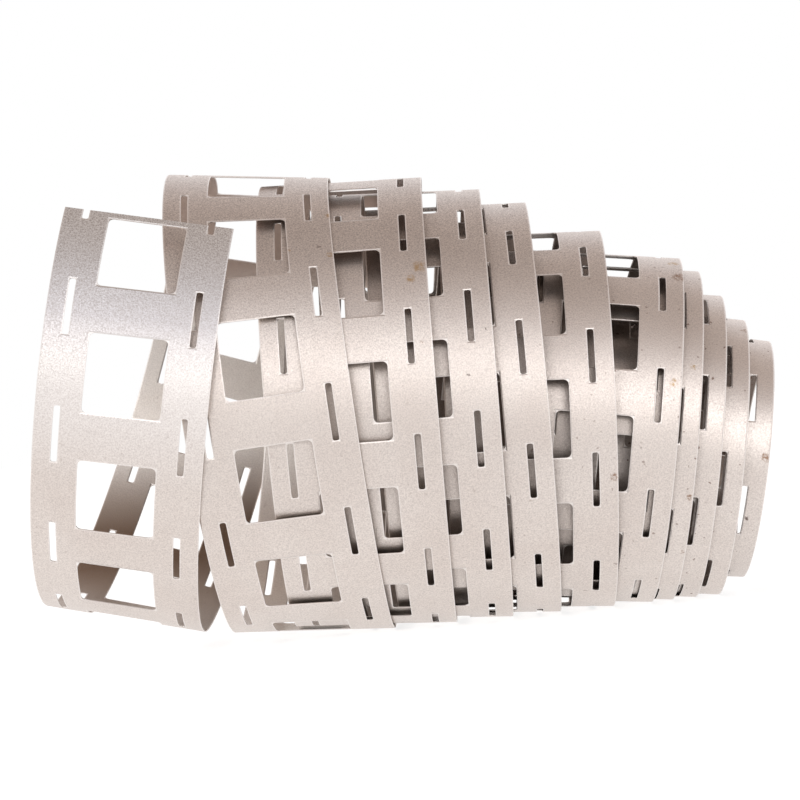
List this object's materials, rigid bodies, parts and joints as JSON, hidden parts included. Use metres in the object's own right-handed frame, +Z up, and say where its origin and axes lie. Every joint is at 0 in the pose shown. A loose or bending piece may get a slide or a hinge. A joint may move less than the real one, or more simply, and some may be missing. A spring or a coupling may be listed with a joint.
{
  "type": "nickel strip",
  "caption": "Coil of thin ladder-shaped nickel strip with square windows and weld slots, pulled out sideways; joins battery cells by spot welding.",
  "frame": {"origin": "on the floor, on the line along the coil that it rests on", "axes": "+X along the coil towards its small end, +Z up, -Y towards the front seen in the picture"},
  "size_m": [0.1261, 0.0793, 0.0803],
  "materials": {
    "nickel": "satin rolled nickel"
  },
  "bodies": {
    "root": {"nickel_strip": "nickel"}
  },
  "joints": []
}
